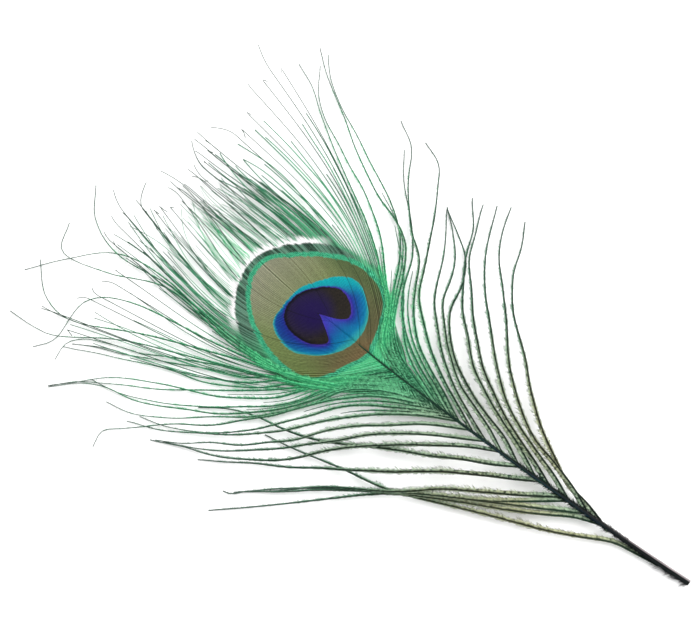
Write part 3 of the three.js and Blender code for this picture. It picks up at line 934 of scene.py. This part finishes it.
PUPIL = Outline((-0.5, 153.5), [
    (-180, 2.6), (-172, 3.9), (-163, 6), (-159, 8.2), (-156, 10.3), (-153, 12), (-149, 12.5), (-137, 12.3),
    (-125, 11.9), (-113, 11.4), (-101, 10.9), (-86, 10.7), (-63, 10.4), (-52, 10.1), (-40, 9.6), (-27, 8.9),
    (-13, 8.1), (4, 7.6), (23, 7.1), (47, 7.2), (69, 8), (86, 9.3), (98, 10.6), (108, 11.7), (126, 12.6),
    (144, 13), (152, 12.9), (157, 12.3), (161, 10.9), (165, 8.4), (168, 5.8), (173, 3.4), (180, 2.6),
])
BLUE = Outline((-0.5, 149.5), [
    (-180, 14.2), (-163, 13.5), (-149, 13.2), (-121, 13.5), (-107, 14), (-96, 14.8), (-86, 15.6), (-66, 16.5),
    (-55, 16.9), (-46, 17), (-38, 16.3), (-30, 15), (-20, 13.9), (-6, 13), (8, 12.6), (23, 12.3), (36, 12.2),
    (50, 12.5), (59, 13.2), (68, 14.1), (76, 15.1), (85, 16.1), (92, 16.7), (107, 16.8), (125, 16.2),
    (137, 15.7), (161, 14.9), (180, 14.2),
])
BRONZE = Outline(EYE_CENTRE, [
    (-180, 22.1), (-168, 21.3), (-158, 20.6), (-149, 20.8), (-140, 21.4), (-123, 22.4), (-115, 22.4),
    (-98, 21), (-89, 20.4), (-69, 20.1), (-57, 20.3), (-48, 21), (-38, 21.7), (-29, 22.4), (-19, 23.5),
    (-11, 24.3), (-4, 24.8), (3, 24.8), (10, 24.3), (17, 23.2), (24, 21.9), (35, 20.3), (49, 19.4),
    (61, 19.3), (73, 19.7), (91, 21), (105, 22.1), (120, 22.7), (134, 22.7), (145, 22.2), (156, 21.6),
    (168, 21.4), (180, 22.1),
])
DARK_RIM = Outline(EYE_CENTRE, [
    (-180, 23.8), (-150, 22.6), (-120, 23.8), (-90, 23.2), (-70, 24.8), (-55, 26.4), (-40, 27.6), (-27, 28.1),
    (-9, 28.6), (0, 28.7), (7, 28.2), (14, 27.4), (22, 26.5), (30, 25.7), (40, 24.6), (59, 24), (75, 23.4),
    (93, 23.2), (120, 23.4), (150, 23.2), (180, 23.8),
])

# Where the barbs of the eye grow, how they part into locks, which are given by their middle barb's root
# and how strongly it draws the others, and how thin they get outside the eye.
FOOT_OF_FAN = 112
FIRST_ROOT = 0.4
HANDLE = 0.4
LOW_RISE = 1.6
LOW_FALL = 2.6
EYE_FALL = 2.4
EYE_TIP_HEIGHT = 1.2
FAN_BED = 0.75
FAN_LIFTS = ([112, 118, 126, 131, 137], [-2.6, -1.3, -0.8, -0.2, 1.3])
CROWN_ARCH = 1.1
FAN_SPACING = [
    (112, 1.9), (118, 1.6), (125, 1.05), (129, 0.5), (131, 0.45), (146, 0.42), (149, 0.26), (151, 0.17),
]
LEFT_LOCKS = [(113, 0.3), (115.5, 0.6), (118, 0.4), (120.5, 0.7), (122.5, 0.5), (124.5, 0.75), (126.4, 0.5),
              (128, 0.7), (129.7, 0.8), (132.2, 0.85), (135.6, 0.8), (139, 0.85), (142, 0.75), (145.5, 0.85),
              (149, 0.9)]
RIGHT_LOCKS = [(113.5, 0.3), (116, 0.6), (118.5, 0.5), (121, 0.7), (123.5, 0.6), (125.5, 0.7), (127.5, 0.6),
               (129.6, 0.75), (132, 0.8), (134.6, 0.7), (137.2, 0.8), (140, 0.7), (143, 0.85), (146, 0.75),
               (148.6, 0.8), (150.6, 0.85)]
LONERS = 0.22
LOCKS_START = 1
LOCKS_LENGTH = 17
LOCKS_HASTE = 0.85
LOCKS_FREE = (18, 30)
LOCKS_FREED = 0.55
LOCK_HEIGHTS = (-0.4, 0.9)
BARB_HEIGHTS = 0.25
SWAY = 1.1
CURL = 3.2
CURL_START = 0.7
CROWN_SPACING = 0.42
CROWN_END = 0.97
CROWN_HALF_WIDTH = 0.12
CROWN_SLOPE = 0.42
LOWER_CROWN = (137, 143)
CROWN_FLUFF = 0.2
CROWN_FRINGE_WIDTH = CROWN_SPACING * 0.7
CROWN_FRINGE_SPREAD = 1.6
FRINGED_FROM = 5
LOWEST_WHOLE = 133
BROKEN = 0.5
BROKEN_LENGTHS = (0.4, 0.66)
WHOLE_LENGTHS = (0.72, 1.0)
WIDEST_BLADE = 1.1
PLUMPNESS = 0.22
EYE_BLADE_THICKNESS = (0.02, 0.09)
OUTERMOST_GAP = 2.0
NARROWEST_GAP = 0.05
OVERLAP = 0.56
NOTCH = (-0.3, 151)
GRAINS_ALONG = 90
GRAINS_ACROSS = 60
SPLITS = [(9.5, 170), (-17, 160), (16, 145), (12, 146), (14, 137), (-7, 168)]
SPLIT_TINT = 1.5
WISPS_A_LOCK = 2
WISP_TURN = 0.3
WISP_REACH = (-4, 13)
WISP_SWAY = 1.6
WISP_RISES = (0, 0.8)
WISP_SUNK = 0.25


def step(values, low, high):
    """0 at low and 1 at high, with a smooth step between."""
    share = np.clip((values - low) / (high - low), 0, 1)
    return share * share * (3 - 2 * share)


def guided_line(guides, side, root):
    """The line of the barb at a root height: one smooth curve, whose handles lie along its two leans."""
    columns = np.array(guides, float).T
    leaves, out, up, leans = (np.interp(root, columns[0], column) for column in columns[1:])
    in_eye = root >= EYE_BASE
    start = shaft_at(root)
    tip = np.array([side * out, up, EYE_TIP_HEIGHT if in_eye else TIP_HEIGHT])
    reach = HANDLE * np.linalg.norm(tip - start)

    def heading(degrees, rise):
        angle = math.radians(degrees)
        return np.array([side * math.sin(angle) * reach, math.cos(angle) * reach, rise])

    first = start + heading(leaves, 0 if in_eye else LOW_RISE)
    second = tip - heading(leans, -EYE_FALL if in_eye else -LOW_FALL)
    share = np.linspace(0, 1, 2 * STATIONS)[:, None]
    rest = 1 - share
    curve = rest**3 * start + 3 * rest**2 * share * first + 3 * rest * share**2 * second + share**3 * tip
    return even_steps(curve)


def roots_between(first, last, spacing):
    """Root heights from first to last. Spacing gives the gap to the next one, by height."""
    places, gaps = zip(*spacing)
    roots = []
    while first < last:
        roots.append(first)
        first += np.interp(first, places, gaps)
    return roots


class Fan:
    """One side's barbs of the eye, from the lowest up, or for the right side from the highest down."""

    def __init__(self, guides, side, locks, seed):
        roots = roots_between(FOOT_OF_FAN + FIRST_ROOT, SHAFT_LENGTH, FAN_SPACING)
        self.roots = np.array(roots if side < 0 else roots[-2::-1])
        self.side = side
        self.chance = np.random.default_rng(seed)
        self.locks = np.array(locks)
        self.lines = np.array([guided_line(guides, side, root) for root in self.roots])
        share = np.linspace(0, 1, STATIONS)[None]
        lifted = np.interp(self.roots, *FAN_LIFTS)
        start = shaft_at(self.roots)[:, 2] + shaft_radius(self.roots) * lifted
        settle = step(share, 0, 0.3)
        outside = DARK_RIM.beyond(self.lines)
        arch = CROWN_ARCH * step(outside, 0, 25) * step(share, 0, 0.2) * (1 - 0.75 * step(share, 0.75, 1))
        self.lines[:, :, 2] = start[:, None] * (1 - settle) + FAN_BED * settle + arch

    def wisps(self):
        """The lines of hairs that run in each lock and past its tip, where they curl."""
        lines = []
        for root, pull in self.locks:
            leader = self.lines[np.abs(self.roots - root).argmin()]
            hairs = WISPS_A_LOCK if root > LOWEST_WHOLE else 1
            for turned in self.chance.normal(0, WISP_TURN, hairs):
                ahead = leader[-1] - leader[-6]
                ahead[2] = 0
                ahead /= np.linalg.norm(ahead)
                aside = np.array([ahead[1], -ahead[0], 0])
                reach = self.chance.uniform(*WISP_REACH)
                past = np.linspace(0.1, 1, 8)[:, None]
                tail = leader[-1] + reach * (past * ahead + turned * past**2 * aside)
                line = even_steps(np.vstack([leader, tail]))
                share = np.linspace(0, 1, STATIONS)[:, None]
                line[:, :2] += self.chance.normal(0, WISP_SWAY) * (share * aside[:2]) * step(share, 0.3, 0.8)
                line[:, 2] += self.chance.uniform(*WISP_RISES) * step(share[:, 0], 0.4, 0.8)
                line[:, 2] -= WISP_SUNK * step(share[:, 0], 0.5, 0.4)
                lines.append(line)
        return lines

    def gathered(self):
        """The lines drawn together into locks outside the eye, each with a stray tip of its own."""
        leaders = np.abs(self.roots[:, None] - self.locks[None, :, 0]).argmin(1)
        outside = DARK_RIM.beyond(self.lines)
        share = np.linspace(0, 1, STATIONS)
        lines = self.lines.copy()
        loners = self.chance.random(len(lines)) < LONERS
        for lock, (root, pull) in enumerate(self.locks):
            members = np.flatnonzero((leaders == lock) & ~loners)
            if len(members) == 0:
                continue
            leader = self.lines[members].mean(0)
            away = outside[members]
            drawn = pull * np.clip((away - LOCKS_START) / LOCKS_LENGTH, 0, 1) ** LOCKS_HASTE
            drawn *= 1 - LOCKS_FREED * step(away, *LOCKS_FREE)
            lines[members] += drawn[:, :, None] * (leader - lines[members])
            lines[members, :, 2] += step(outside[members], 2, 18) * self.chance.uniform(*LOCK_HEIGHTS)
        sway = self.chance.normal(0, SWAY, (len(lines), 1)) * step(outside, 4, 30)
        tip = np.clip((share - CURL_START) / (1 - CURL_START), 0, 1)
        curl = self.chance.normal(0, CURL, (len(lines), 1)) * tip**2
        lines[..., :2] += rightwards(lines) * (sway + curl)[..., None]
        lines[..., 2] += self.chance.normal(0, BARB_HEIGHTS, (len(lines), 1)) * step(outside, 2, 20)
        return lines


def vane_finish():
    """The eye's rings on the green of the barbs."""
    vane = Finish("eye_barbs")
    x, y, z = vane.place()
    along = vane.attribute("along")
    across = vane.attribute("across")
    tint = vane.attribute("tint")
    fleck = vane.attribute("fleck")
    # How far outside each ring's edge a point lies. Each barb carries the edge a little up or down.
    pupil = PUPIL.painted(vane, x, y)
    blue = BLUE.painted(vane, x, y)
    bronze = BRONZE.painted(vane, x, y)
    rim = DARK_RIM.painted(vane, x, y)
    uneven = (tint - 0.5) * 0.42
    pupil = pupil + uneven * 0.5
    blue = blue + uneven * 0.7
    bronze = bronze + uneven
    speckle = vane.noise(along * GRAINS_ALONG, tint * GRAINS_ACROSS + across * 2, 1.0, 2.0)
    grain = speckle.rises(0.32, 0.68)
    patches = vane.noise(x, y, 0.22, 2.0)

    # The dark pupil: violet about the notch, brown away from it, nearly black along its upper edge.
    from_notch = vane.distance(x, y, NOTCH)
    up_left = y - 150 - x * 0.5
    brown = vane.mix(paint(26, 22, 20), paint(46, 40, 32), grain)
    dark_eye = vane.mix(paint(28, 12, 72), brown, (from_notch - 0.4 * up_left).rises(1.5, 10))
    dark_eye = vane.mix(dark_eye, paint(10, 6, 18), pupil.rises(-1.6, -0.3) * up_left.rises(-8, 6))

    # The blue: violet at the pupil to sea green at its edge, brightest at the upper right, deepest on the
    # left, and violet in the wedge that enters the notch.
    share = pupil / (pupil - blue)
    sea = vane.ramp(
        share,
        (0.0, paint(74, 52, 168)),
        (0.14, paint(36, 46, 144)),
        (0.45, paint(10, 84, 150)),
        (0.8, paint(4, 120, 164)),
        (1.0, paint(52, 168, 158)),
    )
    patch = (x * 0.9 + (y - 150) * 0.9).rises(5, 14) * share.rises(0.02, 0.25)
    sea = vane.mix(sea, paint(4, 168, 172), patch * 0.85)
    deep = x.rises(-5, -10) * y.rises(145, 157) * share.rises(1.0, 0.7)
    sea = vane.mix(sea, paint(20, 44, 128), deep * 0.8)
    wedge = (x + 0.5).size().rises(5, 1) * y.rises(151, 147) * share.rises(0.7, 0.1)
    sea = vane.mix(sea, paint(74, 66, 192), wedge * 0.6)
    sea = vane.shade(sea, 0.8 + grain * 0.28 + tint * 0.1)

    # The bronze: brown at its foot, grey at its head, greener on the left and darker on the right.
    tan = vane.ramp(
        (y - 128) / 52,
        (0.0, paint(122, 98, 68)),
        (0.2, paint(100, 98, 64)),
        (0.55, paint(122, 132, 86)),
        (0.95, paint(144, 144, 122)),
    )
    tan = vane.mix(tan, paint(104, 126, 68), x.rises(-9, -19) * y.rises(128, 145) * 0.6)
    tan = vane.mix(tan, paint(72, 92, 56), x.rises(11, 19) * y.rises(172, 156) * 0.75)
    tan = vane.mix(tan, paint(72, 84, 56), x.rises(0, 6) * y.rises(142, 136) * 0.5)
    tan = vane.shade(tan, 0.69 + grain * 0.4 + tint * 0.2)

    # The green ring and the dark rim about it.
    ring = vane.mix(paint(22, 116, 82), paint(84, 200, 152), grain)
    dark_rim = vane.mix(paint(12, 36, 26), paint(106, 150, 127), tint.rises(0.1, 0.9) * 0.7 + grain * 0.3)

    # The green barbs: emerald beside the shaft and under the eye, lively on the crown's right, grey at
    # their tips, fresh in a strip on the left, each with a dark line where its stalk runs.
    green = vane.mix(paint(26, 98, 66), paint(126, 218, 168), tint * 0.6 + fleck * 0.2 + patches * 0.2)
    from_side = x.size()
    beside_shaft = from_side.rises(9, 2) * y.rises(101, 124)
    reach = 3.2 + 6 * y.rises(140, 128)
    hugging = (bronze / reach).rises(1, 0.15) * (y - from_side * 0.4).rises(172, 140)
    emerald = vane.mix(paint(50, 196, 126), paint(130, 255, 186), fleck * 0.3 + grain * 0.7)
    green = vane.mix(green, emerald, beside_shaft.maths("MAXIMUM", beside_shaft, hugging))
    right_crown = x.rises(4, 14) * y.rises(160, 180)
    lively = vane.mix(paint(20, 104, 66), paint(112, 212, 160), tint * 0.5 + grain * 0.5)
    green = vane.mix(green, lively, right_crown * 0.8)
    green = vane.mix(green, paint(78, 104, 92), along.rises(0.78, 1) * (0.7 - 0.3 * right_crown))
    turn = (x - EYE_CENTRE[0]).angle_off(y - EYE_CENTRE[1])
    strip = turn.rises(-0.55, -0.8) * turn.rises(-1.35, -1.15) * rim.rises(16, 8)
    fresh = vane.mix(paint(34, 130, 84), paint(128, 214, 166), tint * 0.5 + grain * 0.5)
    green = vane.mix(green, fresh, strip * 0.4)
    stalk_line = across.size().rises(0.32, 0.06)
    green = vane.shade(green, 1 - stalk_line * 0.7)

    # The rings are laid from the outside in: dark rim, white crescent, green ring, bronze, blue, pupil.
    shaded = turn.rises(-1.3, -0.85) * turn.rises(1.9, 1.4)
    colour = vane.mix(green, dark_rim, shaded * rim.rises(0.5, -0.2))
    crescent = turn.rises(-0.95, -0.68) * turn.rises(1.2, 0.85)
    inner_edge = rim + (tint - 0.5) * 0.5 + (grain - 0.5) * 0.4
    outer_edge = rim + (tint - 0.5) * 1.8
    white = crescent * inner_edge.rises(-0.4, 0.25) * outer_edge.rises(2.7, 1.1)
    colour = vane.mix(colour, paint(250, 247, 248), white)
    colour = vane.mix(colour, ring, bronze.rises(2.0, 1.3))
    colour = vane.mix(colour, tan, bronze.rises(0.3, -0.25))
    colour = vane.mix(colour, sea, blue.rises(0.2, -0.2))
    colour = vane.mix(colour, dark_eye, pupil.rises(0.25, -0.15))

    # Painted shade in the fine seams between neighbours, and a few dark splits in the bronze.
    in_eye = bronze.rises(1, -1)
    # Painted shade: each blade darkens towards its edges, where it meets its neighbour.
    seam_shade = across.size().rises(0.28, 0.54) * (0.4 + 0.08 * in_eye) * (1 - 0.6 * white)
    splits = tint.rises(1.2, 1.4) * across.size().rises(0.3, 0.1) * rim.rises(1, -1) * 0.75
    colour = vane.shade(colour, (1 - seam_shade) * (1 - splits))
    vane.set(Base_Color=colour, Roughness=0.46, Metallic=SILK, Specular_IOR_Level=HAIR_GLOSS)
    return vane.material


def fan_barbs(fan, right, left):
    """The fan's barbs and their parts. Right and left are how far each blade may reach to its neighbours,
    and outside the eye it narrows to a thread with a short fringe. The barbs of the lower crown are
    fuller, and fullest on the right."""
    outside = DARK_RIM.beyond(fan.lines)
    over_top = step(fan.lines[..., 0] * CROWN_SLOPE + fan.lines[..., 1] - EYE_CENTRE[1], 0, 10)
    full = over_top * np.interp(fan.roots, LOWER_CROWN, [1, 0])[:, None]
    fullest = full * (fan.side > 0)
    free = CROWN_HALF_WIDTH - 0.025 * over_top + 0.04 * full + 0.06 * fullest
    beside_shaft = step(np.abs(fan.lines[..., 0]), 12, 4) * (1 - over_top)
    opening = step(outside - 0.3 * (1 - over_top), 0, 1.2 + 2 * (1 - over_top)) * (1 - beside_shaft)
    limit = WIDEST_BLADE - (WIDEST_BLADE - free) * opening
    rows = []
    gathered = fan.gathered()
    share = np.linspace(0, 1, STATIONS)
    thin = np.interp(share, [0, 0.7, 1], [1, 1, 0.9])
    split_off = []
    for split in SPLITS:
        if split[0] * fan.side > 0:
            split_off.append(np.hypot(*(fan.lines[..., :2] - split).T).min(0).argmin())
    for index, line in enumerate(gathered):
        kept = fan.chance.uniform(*WHOLE_LENGTHS)
        if fan.roots[index] < LOWEST_WHOLE and fan.chance.random() < BROKEN:
            kept = fan.chance.uniform(*BROKEN_LENGTHS)
        line = cut_short(line, share * kept)
        blade_right = np.interp(share * kept, share, np.minimum(right[index], limit[index])) * thin
        blade_left = np.interp(share * kept, share, np.minimum(left[index], limit[index])) * thin
        barb = Barb(line, fan.side, fan.chance, blade_right, blade_left)
        if index in split_off:
            barb.tint = SPLIT_TINT
        height = np.clip(PLUMPNESS * (barb.right + barb.left), *EYE_BLADE_THICKNESS)
        parts = [laid_blade(barb, BLADE, barb.right, barb.left, height)]
        out = np.interp(share * kept, share, outside[index])
        ready = share[out > FRINGED_FROM]
        if len(ready) > 3:
            first = ready[0]
            shares, sides = pairs_along(int(barb.length * (CROWN_END - first) / CROWN_SPACING), fan.chance)
            shares = first + (CROWN_END - first) * shares
            fluff = CROWN_FLUFF + 0.08 * full[index].max() + 0.12 * fullest[index].max()
            lengths = fluff * np.interp(shares, [0, first, first + 0.08, 0.75, 1], [0, 0.2, 1, 0.6, 0.2])
            parts.append(fringe(barb, shares, lengths, sides, CROWN_FRINGE_WIDTH, CROWN_FRINGE_SPREAD))
        rows.append((barb, parts))
    return rows


def half_gaps(lines):
    """Half of the way from each line to the next one at every station, and a little over, so that the
    blades of neighbours lap."""
    across = rightwards(lines)
    between = ((lines[1:] - lines[:-1])[..., :2] * (across[1:] + across[:-1]) / 2).sum(-1)
    return OVERLAP * np.clip(between, NARROWEST_GAP, None)


left_fan = Fan(LEFT_GUIDES, -1, LEFT_LOCKS, 41)
right_fan = Fan(RIGHT_GUIDES, 1, RIGHT_LOCKS, 42)
gaps = half_gaps(np.concatenate([left_fan.lines, right_fan.lines]))
outermost = np.full((1, STATIONS), OUTERMOST_GAP)
gap_right = np.concatenate([gaps, outermost])
gap_left = np.concatenate([outermost, gaps])
left_count = len(left_fan.lines)
eye_finish = vane_finish()
left_barbs = fan_barbs(left_fan, gap_right[:left_count], gap_left[:left_count])
right_barbs = fan_barbs(right_fan, gap_right[left_count:], gap_left[left_count:])
joined_piece("eye_barbs_left", left_barbs, eye_finish)
joined_piece("eye_barbs_right", right_barbs, eye_finish)


# The wisps. Hairs as thin as a thread run in every lock of the crown, curl, and stand out past its tip.
# Inside the lock they are thinner still and lie under its barbs.
WISP_THICKNESS = ([0, 0.4, 0.5, 1], [0.03, 0.03, 0.18, 0.14])


def wisp_finish():
    """Green, and grey towards the tip."""
    hair = Finish("wisp_hair")
    green = hair.mix(paint(16, 66, 44), paint(76, 148, 108), hair.attribute("tint"))
    grey = hair.mix(green, paint(72, 90, 80), hair.attribute("along").rises(0.45, 0.85))
    hair.set(Base_Color=grey, Roughness=0.5, Metallic=SILK, Specular_IOR_Level=HAIR_GLOSS)
    return hair.material


def wisp(line, side, chance):
    """One hair, which is a bare stalk."""
    thick = np.interp(np.linspace(0, 1, STATIONS), *WISP_THICKNESS)
    barb = Barb(line, side, chance, thick, thick)
    return barb, [laid_stalk(barb, thick)]


wisps = [wisp(line, fan.side, fan.chance) for fan in (left_fan, right_fan) for line in fan.wisps()]
joined_piece("wisps", wisps, wisp_finish())
